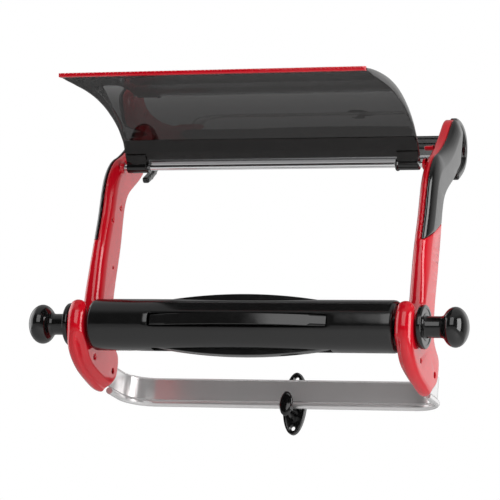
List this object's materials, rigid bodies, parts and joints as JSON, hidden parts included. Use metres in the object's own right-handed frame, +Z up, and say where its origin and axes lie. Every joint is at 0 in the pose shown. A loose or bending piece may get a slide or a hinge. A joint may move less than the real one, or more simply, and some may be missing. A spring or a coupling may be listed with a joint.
{
  "type": "wall-mounted roll dispenser stand",
  "caption": "Wall stand for a wide roll: moulded side arms, lift-out spindle with turning core, swing-down clear shield with a serrated tear edge, steel band behind.",
  "frame": {"origin": "on the wall, midway between the two rear hangers", "axes": "+Z up, -Y towards the user, +X to the right as the user faces the stand"},
  "size_m": [0.649, 0.4349, 0.4591],
  "materials": {
    "red_moulding": "gloss moulded plastic",
    "black_gloss": "gloss moulded plastic",
    "black_satin": "satin moulded plastic",
    "smoked_clear": "smoked clear plastic sheet",
    "bright_steel": "bright brushed steel",
    "plated_steel": "polished plating",
    "grey_aluminium": "satin anodised",
    "dark_fastener": "black coated steel"
  },
  "bodies": {
    "stand": {"arm_left": "red_moulding", "arm_right": "red_moulding", "band_screws": "dark_fastener", "cover_left": "black_gloss", "cover_right": "black_gloss", "guide_bar": "grey_aluminium", "hanger_left": "black_gloss", "hanger_right": "black_gloss", "hinge_rod": "plated_steel", "rail_screws": "dark_fastener", "rear_band": "bright_steel", "rear_rail": "black_gloss", "stop_pegs": "red_moulding", "wall_clip": "black_gloss"},
    "shield": {"hinge_clip_left": "black_satin", "hinge_clip_right": "black_satin", "shield": "smoked_clear", "tear_edge": "red_moulding"},
    "spindle": {"disc_left": "black_gloss", "disc_right": "black_gloss", "knob_left": "black_gloss", "knob_right": "black_gloss", "shaft": "black_gloss"},
    "core": {"core_cap_left": "black_satin", "core_cap_right": "black_satin", "core_tube": "black_gloss", "leaf_bottom": "black_satin", "leaf_front": "black_satin", "leaf_rear": "black_satin", "leaf_top": "black_satin"}
  },
  "joints": [
    {"name": "shield_hinge", "type": "hinge", "parent": "stand", "child": "shield", "pos_m": [0, -0.153, -0.0515], "axis": [1, 0, 0], "range_deg": [0, 75]},
    {"name": "spindle_lift", "type": "slide", "parent": "stand", "child": "spindle", "axis": [0, 0, 1], "range_m": [0, 0.06]},
    {"name": "core_spin", "type": "hinge", "parent": "spindle", "child": "core", "pos_m": [0, -0.206, -0.3], "axis": [1, 0, 0], "continuous": true}
  ]
}
